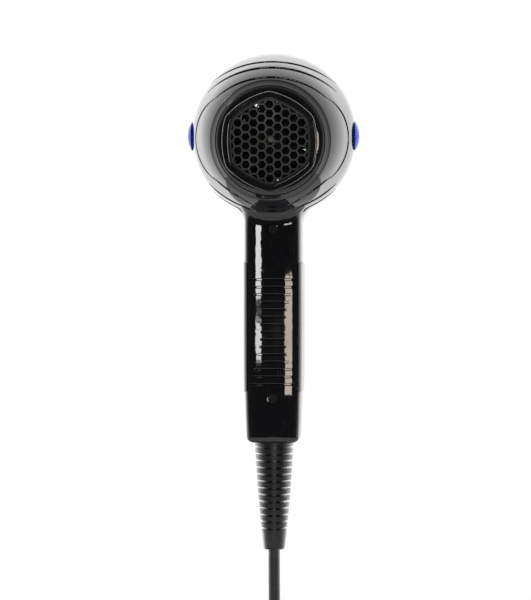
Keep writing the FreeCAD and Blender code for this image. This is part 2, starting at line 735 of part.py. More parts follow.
# ---- motor, fan and heater ----
def motor_mount():
    duct_inner = DUCT_RADIUS - DUCT_WALL
    front = HEAD_FRONT - SPIGOT_LENGTH - 0.2
    pieces = [ring_y(DUCT_RADIUS, duct_inner, DUCT_REAR, front)]
    flange = taper_radius(HEAD_FRONT) - WALL - 0.6
    pieces.append(ring_y(flange, duct_inner, front - 2.2, front))
    cup = CAN_RADIUS + 1.2
    pieces.append(ring_y(cup, CAN_RADIUS + FIT, CAN_REAR, CAN_REAR + CAN_LENGTH - 4))
    vane = block(CAN_RADIUS + 0.7, duct_inner + 0.5, -12, 12, -0.7, 0.7)
    vane.rotate(Vector(0, 0, 0), Vector(1, 0, 0), 8)
    pieces += around_y(vane, VANES, 12)
    boss_end = HEAD_RADIUS - 5.0 - 0.1
    for side in (-1, 1):
        boss = rod(4.2, (side * (duct_inner + 0.3), SIDE_CAP_Y, 0),
                   (side * boss_end, SIDE_CAP_Y, 0))
        pieces.append(boss)
    mount = joined(pieces)
    holes = []
    for side in (-1, 1):
        holes.append(rod(SCREW_SHANK + RUN, (side * (duct_inner + 1.5), SIDE_CAP_Y, 0),
                         (side * (HEAD_RADIUS), SIDE_CAP_Y, 0)))
    return on_barrel(mount.cut(holes))


def motor_can():
    front = CAN_REAR + CAN_LENGTH
    body = rod_y(CAN_RADIUS, CAN_REAR, front)
    inner = rod_y(CAN_RADIUS - CAN_WALL, CAN_REAR + BEARING_LENGTH, front - BEARING_LENGTH)
    bore = rod_y(BEARING_RADIUS + RUN, CAN_REAR - 1, front + 1)
    return on_barrel(body.cut([inner, bore]))


def bearings():
    rings = []
    for y in (CAN_REAR, CAN_REAR + CAN_LENGTH - BEARING_LENGTH):
        ring = ring_y(BEARING_RADIUS, SHAFT_RADIUS + RUN, y, y + BEARING_LENGTH)
        rings.append(on_barrel(ring))
    return rings


def magnets():
    outer = CAN_RADIUS - CAN_WALL - 0.1
    start = CAN_REAR + 6
    end = start + ARMATURE_LENGTH + 4
    ring = ring_y(outer, outer - MAGNET_THICKNESS, start, end)
    split = block(-4, 4, start - 1, end + 1, -30, 30)
    return [on_barrel(half) for half in ring.cut(split).Solids]


def rotor_shaft():
    return on_barrel(rod_y(SHAFT_RADIUS, DUCT_REAR - 1.2, CAN_REAR + CAN_LENGTH + 2))


def armature():
    start = CAN_REAR + 8
    core = ring_y(ARMATURE_RADIUS, SHAFT_RADIUS, start, start + ARMATURE_LENGTH)
    slot = block(4.5, ARMATURE_RADIUS + 1, start - 1, start + ARMATURE_LENGTH + 1, -1.1, 1.1)
    return on_barrel(core.cut(around_y(slot, 5)))


def commutator():
    drum = ring_y(4.2, SHAFT_RADIUS, BRUSH_Y - 2.5, BRUSH_Y + 3)
    gap = block(3.2, 5, BRUSH_Y - 4, BRUSH_Y + 4, -0.25, 0.25)
    return on_barrel(drum.cut(around_y(gap, 5)))


def brushes():
    y = BRUSH_Y
    blocks = []
    for side in (-1, 1):
        x = sorted((side * 4.3, side * 9.0))
        blocks.append(on_barrel(block(x[0], x[1], y - 1.5, y + 1.5, -1.5, 1.5)))
    return blocks


def brush_card():
    y = BRUSH_Y
    card = ring_y(CAN_RADIUS - CAN_WALL - 0.1, 6.0, y - 1.0, y + 1.0)
    slots = block(-9.1, 9.1, y - 2, y + 2, -1.6, 1.6)
    return on_barrel(card.cut(slots))


def fan():
    y0 = DUCT_REAR
    y1 = y0 + FAN_LENGTH
    tip = DUCT_RADIUS - DUCT_WALL - FAN_TIP_GAP
    hub = ring_y(FAN_HUB, SHAFT_RADIUS, y0, y1)
    hollow = ring_y(FAN_HUB - 1.6, SHAFT_RADIUS + 2.4, y0 + 2.0, y1 + 1)
    blade = block(FAN_HUB - 0.6, tip + 1, y0 - 3, y1 + 3, -0.65, 0.65)
    middle = Vector(0, 0.5 * (y0 + y1), 0)
    blade.rotate(middle, Vector(1, 0, 0), 48)
    blades = around_y(blade, FAN_BLADES)
    trimmed = joined(blades).common(ring_y(tip, FAN_HUB - 0.6, y0 + 0.6, y1 - 0.6))
    return on_barrel(joined([hub.cut(hollow)] + trimmed.Solids))


def heater_rows():
    start = HEAD_FRONT + 7
    step = (HEATER_LENGTH - 8) / (COIL_ROWS - 1)
    return [start + step * index for index in range(COIL_ROWS)]


def heating_coil_ring(y, wire):
    return Part.makeTorus(HEATER_HALF_WIDTH - 1.0, wire, Vector(0, y, 0), Vector(0, 1, 0))


def heater_board(upright):
    y0 = HEAD_FRONT + 3
    y1 = y0 + HEATER_LENGTH
    middle = 0.5 * (y0 + y1)
    half = MICA / 2
    board = block(-HEATER_HALF_WIDTH, HEATER_HALF_WIDTH, y0, y1, -half, half)
    slot_gap = half + 0.1
    if upright:
        slot = block(-slot_gap, slot_gap, y0 - 1, middle + 0.1, -5, 5)
    else:
        slot = block(-slot_gap, slot_gap, middle - 0.1, y1 + 1, -5, 5)
    notches = [heating_coil_ring(y, COIL_WIRE + 0.3) for y in heater_rows()]
    board = board.cut([slot] + notches)
    if upright:
        board.rotate(Vector(0, 0, 0), Vector(0, 1, 0), 90)
    return on_barrel(board)


def heating_coils():
    return [on_barrel(heating_coil_ring(y, COIL_WIRE)) for y in heater_rows()]


def heat_shield():
    outer = COLLAR_RADIUS - 3.2
    return on_barrel(ring_y(outer, outer - 0.6, HEAD_FRONT - 6, BARREL_END - 8))


def thermal_cutout():
    y = HEAD_FRONT + 10
    plate = block(3, 11, y, y + 18, MICA / 2, MICA / 2 + 1.0)
    pad = block(5, 9, y + 1, y + 7, MICA / 2 + 1.0, MICA / 2 + 3.2)
    return on_barrel(joined([plate, pad]))


def thermal_fuse():
    y = HEAD_FRONT + 12
    z = MICA / 2 + 2.0
    body = rod_y(1.9, y, y + 10, -8, z)
    leads = rod_y(0.5, y - 3, y + 13, -8, z)
    return on_barrel(joined([body, leads]))


def rectifier_board():
    z = -0.5 * (DUCT_RADIUS + HEAD_RADIUS) - 0.5
    pieces = [block(-11, 11, -12, 14, z - 0.8, z + 0.8)]
    for index in range(4):
        y = -8 + 6 * index
        pieces.append(rod(1.4, (-5, y, z + 2.0), (1, y, z + 2.0)))
        pieces.append(block(-2.6, -1.4, y - 0.6, y + 0.6, z + 0.6, z + 1.2))
    return on_barrel(joined(pieces))


# ---- switches ----
def rocker_window_half():
    reach = math.acos(ROCKER_HALF_LENGTH / ROCKER_RADIUS) - math.radians(ROCKER_SWING)
    return ROCKER_RADIUS * math.cos(reach) + 0.3


def switch_panel():
    face = PANEL_FACE
    plate = block(-PANEL_HALF_WIDTH, PANEL_HALF_WIDTH, face - PANEL_THICKNESS, face,
                  PANEL_BOTTOM, PANEL_TOP)
    upright = [e for e in plate.Edges if e.BoundBox.YLength > 1]
    plate = plate.makeFillet(2.0, upright)
    rim = [e for e in plate.Edges if e.BoundBox.YMin > face - 0.01]
    plate = plate.makeFillet(0.8, rim)
    half = rocker_window_half()
    width = ROCKER_HALF_WIDTH + 0.25
    tools = []
    for z in (SPEED_Z, HEAT_Z):
        tools.append(block(-width, width, face - 10, face + 5, z - half, z + half))
    tools.append(rod_y(COOL_RADIUS + 0.2, face - 10, face + 5, 0, COOL_Z))
    return plate.cut(tools)


def rocker(z):
    pivot = ROCKER_PIVOT
    w = ROCKER_HALF_WIDTH
    core = block(-w, w, pivot - 2.5, pivot + 20, -ROCKER_HALF_LENGTH, ROCKER_HALF_LENGTH)
    core = core.common(rod(ROCKER_RADIUS, (-20, pivot, 0), (20, pivot, 0)))
    dish = rod(24.0, (-20, pivot + 37.6, 0), (20, pivot + 37.6, 0))
    pins = rod(PIVOT_PIN, (-w - 1.2, pivot, 0), (w + 1.2, pivot, 0))
    body = core.cut(dish)
    side_edges = [e for e in body.Edges if e.BoundBox.YMin > pivot + 11 and e.Length > 3]
    body = body.makeFillet(0.5, side_edges)
    body = joined([body, pins])
    body.translate(Vector(0, 0, z))
    return body


def switch_body(z):
    pivot = ROCKER_PIVOT
    back = pivot - 7
    front = PANEL_FACE - PANEL_THICKNESS - 0.1
    half = rocker_window_half() + 0.9
    shell = block(-7.2, 7.2, back, front, -half, half)
    width = ROCKER_HALF_WIDTH + 0.25
    well = block(-width, width, pivot - 4.2, front + 1, -half + 0.9, half - 0.9)
    bore = rod(PIVOT_PIN + RUN, (-6.2, pivot, 0), (6.2, pivot, 0))
    shell = shell.cut([well, bore])
    tabs = []
    for side in (-1, 1):
        tabs.append(block(-0.4, 0.4, back - 3.5, back + 0.5, side * 5 - 1.6, side * 5 + 1.6))
    shell = joined([shell] + tabs)
    shell.translate(Vector(0, 0, z))
    return shell


def cool_button():
    face = PANEL_FACE + 2.6
    stem = PANEL_FACE - PANEL_THICKNESS
    cap = rod_y(COOL_RADIUS, BUTTON_REAR, face, 0, COOL_Z)
    rim = [e for e in cap.Edges if e.BoundBox.YMin > face - 0.01]
    cap = cap.makeFillet(1.0, rim)
    flange = rod_y(COOL_RADIUS + 1.2, stem - 1.3, stem - 0.1, 0, COOL_Z)
    return joined([cap, flange])


def cool_spring():
    end = BUTTON_REAR
    turns = 4
    steps = 8
    route = []
    for index in range(turns * steps + 1):
        angle = 2 * math.pi * index / steps
        y = end - 0.05 - SPRING_WIRE / 2 - SPRING_LENGTH * index / (turns * steps)
        x = SPRING_RADIUS * math.cos(angle)
        route.append((x, y, COOL_Z + SPRING_RADIUS * math.sin(angle)))
    return tube(route, SPRING_WIRE / 2)


def cool_switch():
    end = BUTTON_REAR - SPRING_LENGTH - SPRING_WIRE - 0.1
    body = block(-7.2, 7.2, end - 8, end, COOL_Z - 6.2, COOL_Z + 6.2)
    walls = []
    for side in (-1, 1):
        x = sorted((side * 6.0, side * 7.2))
        walls.append(block(x[0], x[1], end - 1, PANEL_FACE - PANEL_THICKNESS - 0.1,
                           COOL_Z - 5, COOL_Z + 5))
    return joined([body] + walls)


# ---- boot, cord and plug ----
def boot_radius(z):
    share = (HANDLE_BOTTOM - z) / BOOT_LENGTH
    bow = 0.9 * math.sin(math.pi * share)
    return BOOT_TOP_RADIUS + (BOOT_TIP_RADIUS - BOOT_TOP_RADIUS) * share + bow * 0.6


def boot():
    top = HANDLE_BOTTOM - RUN
    steps = 6
    side = []
    for i in range(steps + 1):
        z = top - (BOOT_LENGTH - 0.8) * i / steps
        side.append(Vector(boot_radius(z), 0, z))
    low = BOOT_TIP
    neck_top = HANDLE_BOTTOM + WALL + 0.1
    flange = BOOT_NECK_RADIUS + 2.0
    edges = [curve(side)]
    corners = [tuple(side[-1]), (side[-1].x - 0.8, 0, low), (0, 0, low), (0, 0, neck_top + 2.4),
               (flange, 0, neck_top + 2.4), (flange, 0, neck_top), (BOOT_NECK_RADIUS, 0, neck_top),
               (BOOT_NECK_RADIUS, 0, top), tuple(side[0])]
    solid = spun(edges + lines(corners), Vector(0, 0, 1))
    tools = [rod(CORD_RADIUS + RUN, (0, 0, low - 1), (0, 0, neck_top + 4))]
    first = top - 3.2
    last = BOOT_TIP + BOOT_TIP_LENGTH
    for index in range(BOOT_RIBS):
        share = index / (BOOT_RIBS - 1)
        z = first + (last - first) * share
        depth = 1.2 + 2.3 * math.sin(math.pi * min(1.0, share * 1.1)) ** 0.8
        core = max(boot_radius(z) - depth, CORD_RADIUS + 1.0)
        wide = rod(BOOT_TOP_RADIUS + 2, (0, 0, z - BOOT_GAP / 2), (0, 0, z + BOOT_GAP / 2))
        narrow = rod(core, (0, 0, z - BOOT_GAP), (0, 0, z + BOOT_GAP))
        tools.append(wide.cut(narrow))
    return solid.cut(tools)


def cord_lead():
    return rod(CORD_RADIUS, (0, 0, CORD_DROP[0][2]), (0, 0, CLAMP_Z + 3.4))


def cord_clamp():
    rear = -CORD_RADIUS
    half = CLAMP_REACH + CLAMP_POST
    bar = block(-half, half, rear - CLAMP_BAR, rear - RUN, CLAMP_Z - 2.8, CLAMP_Z + 2.8)
    holes = []
    for side in (-1, 1):
        holes.append(rod_y(CLAMP_SHANK + FIT, rear - CLAMP_BAR - 1, rear + 1,
                           side * CLAMP_REACH, CLAMP_Z))
    return bar.cut(holes)


def clamp_screws():
    screws = []
    for side in (-1, 1):
        screw = pan_screw(2.2, CLAMP_SHANK, 9.0, 1.3)
        screw.translate(Vector(side * CLAMP_REACH, -CORD_RADIUS - CLAMP_BAR, CLAMP_Z))
        screws.append(screw)
    return screws


def wire(side):
    x = (GRIP_HALF_WIDTH - WALL - 3.7) * side
    route = [(1.8 * side, 0.5, CLAMP_Z + 4.4), (5.9 * side, -1.5, CLAMP_Z + 8.6),
             (7.4 * side, -4, CLAMP_Z + 18), (x, -7, CLAMP_Z + 40),
             (x + 0.4 * side, -7.6, 8), (x, -7.2, 30),
             (x - 0.5 * side, -6, 50), (x - 1.6 * side, -2, HEAD_Z - HEAD_RADIUS + 4)]
    return tube(route, 1.1)


def cord_coil():
    half = 0.5 * COIL_COLUMNS * CORD_LAYER
    height = COIL_LAYERS * CORD_LAYER
    base = Vector(COIL_CENTRE.x, COIL_CENTRE.y, FLOOR_Z)
    up = Vector(0, 0, 1)
    ring = Part.makeCylinder(COIL_TURN_RADIUS + half, height, base, up)
    ring = ring.cut(Part.makeCylinder(COIL_TURN_RADIUS - half, height, base, up))
    return ring.makeFillet(2.8, [e for e in ring.Edges if e.BoundBox.ZLength < 0.01])


def cord_tie():
    half = 0.5 * COIL_COLUMNS * CORD_LAYER
    height = COIL_LAYERS * CORD_LAYER
    t = TIE_THICKNESS
    gap = 0.1
    x = COIL_CENTRE.x - COIL_TURN_RADIUS
    y = COIL_CENTRE.y
    w = TIE_WIDTH / 2
    outer = block(x - half - t, x + half + t, y - w, y + w, FLOOR_Z - t, FLOOR_Z + height + t)
    inner = block(x - half - gap, x + half + 1.2, y - w - 1, y + w + 1,
                  FLOOR_Z - gap, FLOOR_Z + height + gap)
    corners = [e for e in outer.Edges if e.BoundBox.YLength > 1]
    return outer.makeFillet(2.0, corners).cut(inner)


def place_plug(shape):
    """Plug pieces are made along +Y from the cord's entry."""
    shape.rotate(Vector(0, 0, 0), Vector(0, 0, 1), PLUG_HEADING - 90)
    shape.translate(PLUG_ENTRY + Vector(0, 0, FLOOR_Z + PLUG_RADIUS))
    return shape


def plug_body():
    end = PLUG_FACE
    r = PLUG_RADIUS
    side = [Vector(5.2, 0, 0), Vector(6.4, 8, 0), Vector(8.6, 15, 0), Vector(13.5, PLUG_GRIP, 0),
            Vector(r - 1.0, PLUG_GRIP + 5, 0), Vector(r, PLUG_GRIP + 10, 0)]
    edges = [curve(side)]
    corners = [tuple(side[-1]), (r, end - 1, 0), (r - 1, end, 0), (0, end, 0), (0, 0, 0),
               tuple(side[0])]
    body = spun(edges + lines(corners))
    flats = []
    for side_sign in (-1, 1):
        x = sorted((side_sign * (r - 3.2), side_sign * (r + 5)))
        flats.append(block(x[0], x[1], PLUG_GRIP + 10, end + 1, -3.6, 3.6))
    holes = [rod_y(PIN_NECK, end - PIN_ROOT, end + 1, 0, side_sign * PIN_SPACING / 2)
             for side_sign in (-1, 1)]
    return place_plug(body.cut(flats + holes))


def plug_pins():
    end = PLUG_FACE
    pins = []
    for side in (-1, 1):
        x = side * PIN_SPACING / 2
        pin = rod_y(PIN_RADIUS, end + SEAT_GAP, end + PIN_LENGTH, 0, x)
        tip = [e for e in pin.Edges if e.BoundBox.YMin > end + PIN_LENGTH - 0.01]
        neck = rod_y(PIN_NECK, end - PIN_ROOT, end + SEAT_GAP + 1, 0, x)
        pins.append(place_plug(pin.makeFillet(1.2, tip).fuse(neck).removeSplitter()))
    return pins


def save(name, shape):
    solids = shape if isinstance(shape, list) else shape.Solids
    Part.makeCompound(solids).exportStep("parts/%s.step" % name)
    print("%-20s %2d solids %10.1f mm3" % (name, len(solids), sum(s.Volume for s in solids)))


os.makedirs("parts", exist_ok=True)
FORM = body_form()
save("main_housing", main_housing(FORM))
save("handle_rear_cover", handle_rear_cover(FORM))
save("cover_screws", cover_screws())
save("grip_inlay_left", inlay(-1))
save("grip_inlay_right", inlay(1))
save("rear_cap", rear_cap())
save("intake_grille", intake_grille())
save("side_cap_left", side_cap(-1))
save("side_cap_right", side_cap(1))
save("side_screws", side_screws())
save("front_barrel", front_barrel())
save("outlet_collar", outlet_collar())
save("outlet_grille", outlet_grille())
save("motor_mount", motor_mount())
save("motor_can", motor_can())
save("motor_bearings", bearings())
save("motor_magnets", magnets())
save("rotor_shaft", rotor_shaft())
save("armature", armature())
save("commutator", commutator())
save("brushes", brushes())
save("brush_card", brush_card())
save("fan", fan())
save("heater_board_flat", heater_board(False))
save("heater_board_upright", heater_board(True))
save("heating_coils", heating_coils())
save("heat_shield", heat_shield())
save("thermal_cutout", thermal_cutout())
save("thermal_fuse", thermal_fuse())
save("rectifier_board", rectifier_board())
save("switch_panel", switch_panel())
save("speed_rocker", rocker(SPEED_Z))
save("heat_rocker", rocker(HEAT_Z))
save("speed_switch_body", switch_body(SPEED_Z))
save("heat_switch_body", switch_body(HEAT_Z))
save("cool_button", cool_button())
save("cool_spring", cool_spring())
save("cool_switch_body", cool_switch())
save("cord_boot", boot())
save("cord_lead", cord_lead())
save("cord_clamp", cord_clamp())
save("clamp_screws", clamp_screws())
save("wire_live", wire(1))
save("wire_neutral", wire(-1))
save("power_cord", tube(CORD_DROP, CORD_RADIUS, "power_cord"))
save("cord_tail", tube(CORD_TAIL, CORD_RADIUS, "cord_tail"))
save("cord_coil", cord_coil())
save("cord_tie", cord_tie())
save("plug_body", plug_body())
save("plug_pins", plug_pins())
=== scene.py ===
import math
import json

import bmesh
import bpy
from mathutils import Matrix, Vector


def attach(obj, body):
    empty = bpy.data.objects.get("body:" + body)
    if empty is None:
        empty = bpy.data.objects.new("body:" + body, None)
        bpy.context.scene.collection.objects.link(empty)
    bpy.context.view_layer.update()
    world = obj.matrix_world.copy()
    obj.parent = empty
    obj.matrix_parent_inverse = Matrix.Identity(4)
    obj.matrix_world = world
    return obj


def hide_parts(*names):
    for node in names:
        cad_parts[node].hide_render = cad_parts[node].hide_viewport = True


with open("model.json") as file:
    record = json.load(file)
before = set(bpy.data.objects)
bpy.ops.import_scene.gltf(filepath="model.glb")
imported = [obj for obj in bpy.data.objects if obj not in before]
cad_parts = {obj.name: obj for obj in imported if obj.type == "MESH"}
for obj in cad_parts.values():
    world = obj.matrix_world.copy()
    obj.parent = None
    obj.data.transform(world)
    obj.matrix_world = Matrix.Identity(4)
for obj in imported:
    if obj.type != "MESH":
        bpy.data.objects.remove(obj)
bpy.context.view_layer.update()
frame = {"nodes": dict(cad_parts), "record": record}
NODES = frame["nodes"]
MM = 0.001

# ---- camera, lights and stage ----
VIEW_DISTANCE = 1.30
VIEW_AZIMUTH = math.radians(3.2)
VIEW_ELEVATION = math.radians(1.0)
VIEW_HEIGHT = 0.3456          # what the frame takes in at the handle, top to bottom
VIEW_CENTRE = Vector((-0.0050, 0.0, 0.0179))
FLOOR_CENTRE = (0, 0.03, -0.2395)
FLOOR_RADIUS = 0.42


def view_direction(azimuth, elevation):
    flat = math.cos(elevation)
    return Vector((math.sin(azimuth) * flat, -math.cos(azimuth) * flat, math.sin(elevation)))


def make_camera():
    data = bpy.data.cameras.new("camera")
    data.sensor_fit = "VERTICAL"
    data.sensor_height = 36.0
    data.lens = data.sensor_height * VIEW_DISTANCE / VIEW_HEIGHT
    data.clip_start = 0.05
    data.clip_end = 20.0
    camera = bpy.data.objects.new("camera", data)
    away = view_direction(VIEW_AZIMUTH, VIEW_ELEVATION)
    camera.location = VIEW_CENTRE + away * VIEW_DISTANCE
    camera.rotation_euler = (-away).to_track_quat("-Z", "Y").to_euler()
    bpy.context.scene.collection.objects.link(camera)
    bpy.context.scene.camera = camera


def softbox(name, azimuth, height, size, brightness, colour):
    """A rectangular light a metre from the handle that faces it."""
    data = bpy.data.lights.new(name, "AREA")
    data.shape = "RECTANGLE"
    data.size, data.size_y = size
    data.energy = brightness * math.pi * size[0] * size[1]
    data.color = colour
    lamp = bpy.data.objects.new(name, data)
    flat = view_direction(math.radians(azimuth), 0.0)
    lamp.location = flat + Vector((0, 0, height))
    lamp.rotation_euler = (-flat).to_track_quat("-Z", "Y").to_euler()
    bpy.context.scene.collection.objects.link(lamp)


WHITE = (1.0, 1.0, 1.0)
WARM = (1.0, 0.88, 0.77)


def make_lights():
    softbox("window", -8.7, 0.010, (0.122, 0.100), 16.0, WHITE)
    softbox("lamp", 7.55, -0.078, (0.237, 0.122), 11.0, WARM)


# Brightness of the surroundings against the direction's Y, from behind the camera to the screen
SURROUNDINGS = [(-1.0, 0.05), (-0.45, 0.15), (-0.05, 1.5), (0.3, 3.0), (0.62, 4.6), (0.82, 2.7),
                (1.0, 1.8)]
BRIGHTEST = max(level for _, level in SURROUNDINGS)


def make_world():
    world = bpy.data.worlds.new("studio")
    world.use_nodes = True
    nodes = world.node_tree.nodes
    links = world.node_tree.links
    nodes.clear()
    coordinates = nodes.new("ShaderNodeTexCoord")
    axes = nodes.new("ShaderNodeSeparateXYZ")
    links.new(coordinates.outputs["Generated"], axes.inputs[0])
    depth = nodes.new("ShaderNodeMapRange")
    depth.inputs["From Min"].default_value = -1.0
    links.new(axes.outputs["Y"], depth.inputs["Value"])
    ramp = nodes.new("ShaderNodeValToRGB")
    stops = ramp.color_ramp.elements
    while len(stops) < len(SURROUNDINGS):
        stops.new(0.5)
    for stop, (y, level) in zip(stops, SURROUNDINGS):
        stop.position = 0.5 + y / 2
        share = level / BRIGHTEST
        stop.color = (share, share * 0.985, share * 0.985, 1)
    links.new(depth.outputs[0], ramp.inputs[0])
    studio = nodes.new("ShaderNodeBackground")
    studio.inputs["Strength"].default_value = BRIGHTEST
    links.new(ramp.outputs[0], studio.inputs["Color"])
    seen = nodes.new("ShaderNodeBackground")
    seen.inputs["Color"].default_value = (1, 1, 1, 1)
    path = nodes.new("ShaderNodeLightPath")
    mix = nodes.new("ShaderNodeMixShader")
    output = nodes.new("ShaderNodeOutputWorld")
    links.new(path.outputs["Is Camera Ray"], mix.inputs[0])
    links.new(studio.outputs[0], mix.inputs[1])
    links.new(seen.outputs[0], mix.inputs[2])
    links.new(mix.outputs[0], output.inputs[0])
    bpy.context.scene.world = world


make_camera()
make_lights()
make_world()
bpy.context.scene.view_settings.view_transform = "Standard"


# ---- shared shader node groups ----
def new_group(name, inputs, outputs):
    group = bpy.data.node_groups.new(name, "ShaderNodeTree")
    for label, kind, value in inputs:
        socket = group.interface.new_socket(label, in_out="INPUT", socket_type=kind)
        if value is not None:
            socket.default_value = value
    for label, kind in outputs:
        group.interface.new_socket(label, in_out="OUTPUT", socket_type=kind)
    return group, group.nodes.new("NodeGroupInput"), group.nodes.new("NodeGroupOutput")


def noise(tree, vector, scale, detail=3.0, roughness=0.55):
    node = tree.nodes.new("ShaderNodeTexNoise")
    node.inputs["Scale"].default_value = scale
    node.inputs["Detail"].default_value = detail
    node.inputs["Roughness"].default_value = roughness
    tree.links.new(vector, node.inputs["Vector"])
    return node.outputs["Fac"]


def stretched(tree, vector, scale):
    node = tree.nodes.new("ShaderNodeMapping")
    node.inputs["Scale"].default_value = scale
    tree.links.new(vector, node.inputs["Vector"])
    return node.outputs[0]


def ranged(tree, value, low, high, to_low=0.0, to_high=1.0):
    node = tree.nodes.new("ShaderNodeMapRange")
    for label, number in (("From Min", low), ("From Max", high)):
        node.inputs[label].default_value = number
    for label, number in (("To Min", to_low), ("To Max", to_high)):
        if isinstance(number, (int, float)):
            node.inputs[label].default_value = number
        else:
            tree.links.new(number, node.inputs[label])
    tree.links.new(value, node.inputs["Value"])
    return node.outputs[0]


def blended(tree, factor, first, second):
    node = tree.nodes.new("ShaderNodeMix")
    node.data_type = "RGBA"
    tree.links.new(factor, node.inputs[0])
    for index, colour in ((6, first), (7, second)):
        if isinstance(colour, tuple):
            node.inputs[index].default_value = colour
        else:
            tree.links.new(colour, node.inputs[index])
    return node.outputs[2]


def maths(tree, operation, first, second):
    node = tree.nodes.new("ShaderNodeMath")
    node.operation = operation
    for index, value in ((0, first), (1, second)):
        if isinstance(value, (int, float)):
            node.inputs[index].default_value = value
        else:
            tree.links.new(value, node.inputs[index])
    return node.outputs[0]


COLOUR = "NodeSocketColor"
FLOAT = "NodeSocketFloat"
VECTOR = "NodeSocketVector"
SURFACE = [("Color", COLOUR), ("Roughness", FLOAT), ("Height", FLOAT)]


def polish_group():
    """Polished moulding: finger haze, settled dust and hairline scratches."""
    inputs = [("Vector", VECTOR, None), ("Base", COLOUR, (0.01, 0.01, 0.01, 1)),
              ("Dust", COLOUR, (0.1, 0.1, 0.1, 1)), ("Low", FLOAT, 0.06), ("High", FLOAT, 0.16)]
    group, given, result = new_group("polish", inputs, SURFACE)
    place = given.outputs["Vector"]
    haze = ranged(group, noise(group, place, 26.0, 4.0), 0.42, 0.68)
    specks = ranged(group, noise(group, place, 950.0, 2.0), 0.70, 0.78)
    scratch = noise(group, stretched(group, place, (1400.0, 1400.0, 60.0)), 1.0, 2.0)
    hairline = ranged(group, scratch, 0.66, 0.72)
    marks = maths(group, "MAXIMUM", specks, maths(group, "MULTIPLY", hairline, 0.35))
    faint = maths(group, "MULTIPLY", marks, 0.35)
    colour = blended(group, faint, given.outputs["Base"], given.outputs["Dust"])
    rough = ranged(group, haze, 0.0, 1.0, given.outputs["Low"], given.outputs["High"])
    swell = noise(group, place, 160.0, 1.0)
    height = maths(group, "ADD", maths(group, "MULTIPLY", swell, 0.4), faint)
    for label, value in (("Color", colour), ("Roughness", rough), ("Height", height)):
        group.links.new(value, result.inputs[label])
    return group


def grain_group():
    """Satin moulding or rubber: fine spark-eroded grain, paler where it is rubbed."""
    inputs = [("Vector", VECTOR, None), ("Base", COLOUR, (0.02, 0.02, 0.02, 1)),
              ("Rubbed", COLOUR, (0.06, 0.06, 0.06, 1)), ("Grain", FLOAT, 1800.0),
              ("Low", FLOAT, 0.42), ("High", FLOAT, 0.60)]
    group, given, result = new_group("grain", inputs, SURFACE)
    place = given.outputs["Vector"]
    cells = group.nodes.new("ShaderNodeTexVoronoi")
    group.links.new(place, cells.inputs["Vector"])
    group.links.new(given.outputs["Grain"], cells.inputs["Scale"])
    worn = ranged(group, noise(group, place, 70.0, 5.0, 0.65), 0.50, 0.72)
    colour = blended(group, worn, given.outputs["Base"], given.outputs["Rubbed"])
    rough = ranged(group, worn, 0.0, 1.0, given.outputs["High"], given.outputs["Low"])
    for label, value in (("Color", colour), ("Roughness", rough),
                         ("Height", cells.outputs["Distance"])):
        group.links.new(value, result.inputs[label])
    return group


def metal_group():
    """Drawn or turned metal: fine lines along one axis, and a little tarnish."""
    inputs = [("Vector", VECTOR, None), ("Base", COLOUR, (0.5, 0.5, 0.5, 1)),
              ("Tarnish", COLOUR, (0.2, 0.18, 0.16, 1)), ("Low", FLOAT, 0.2),
              ("High", FLOAT, 0.42)]
    group, given, result = new_group("metal", inputs, SURFACE)
    place = given.outputs["Vector"]
    lines = noise(group, stretched(group, place, (2600.0, 180.0, 2600.0)), 1.0, 2.0)
    stain = ranged(group, noise(group, place, 240.0, 4.0), 0.48, 0.74)
    colour = blended(group, maths(group, "MULTIPLY", stain, 0.6),
                     given.outputs["Base"], given.outputs["Tarnish"])
    rough = ranged(group, lines, 0.3, 0.7, given.outputs["Low"], given.outputs["High"])
    for label, value in (("Color", colour), ("Roughness", rough), ("Height", lines)):
        group.links.new(value, result.inputs[label])
    return group


GROUPS = {"polish": polish_group(), "grain": grain_group(), "metal": metal_group()}


def finish(name, effect, settings, bump, bump_distance, metallic=0.0, specular=0.5):
    """A finish for one kind of piece: an effect group feeding a Principled shader."""
    material = bpy.data.materials.new(name)
    material.use_nodes = True
    tree = material.node_tree
    shader = tree.nodes["Principled BSDF"]
    shader.inputs["Metallic"].default_value = metallic
    shader.inputs["Specular IOR Level"].default_value = specular
    place = tree.nodes.new("ShaderNodeTexCoord")
    surface = tree.nodes.new("ShaderNodeGroup")
    surface.node_tree = GROUPS[effect]
    tree.links.new(place.outputs["Object"], surface.inputs["Vector"])
    for label, value in settings.items():
        surface.inputs[label].default_value = value
    relief = tree.nodes.new("ShaderNodeBump")
    relief.inputs["Strength"].default_value = bump
    relief.inputs["Distance"].default_value = bump_distance
    tree.links.new(surface.outputs["Height"], relief.inputs["Height"])
    tree.links.new(surface.outputs["Color"], shader.inputs["Base Color"])
    tree.links.new(surface.outputs["Roughness"], shader.inputs["Roughness"])
    tree.links.new(relief.outputs[0], shader.inputs["Normal"])
    return material


def rgb(r, g, b):
    return (r, g, b, 1.0)


def polished(name, base, dust=rgb(0.16, 0.16, 0.17), low=0.03, high=0.07, specular=0.5):
    settings = {"Base": base, "Dust": dust, "Low": low, "High": high}
    return finish(name, "polish", settings, bump=0.014, bump_distance=0.0001, specular=specular)


def satin(name, base, rubbed, grain=1800.0, low=0.40, high=0.58, bump=0.25):
    settings = {"Base": base, "Rubbed": rubbed, "Grain": grain, "Low": low, "High": high}
    return finish(name, "grain", settings, bump=bump, bump_distance=0.0001)


def metal(name, base, tarnish, low=0.18, high=0.38):
    settings = {"Base": base, "Tarnish": tarnish, "Low": low, "High": high}
    return finish(name, "metal", settings, bump=0.15, bump_distance=0.00005, metallic=1.0)


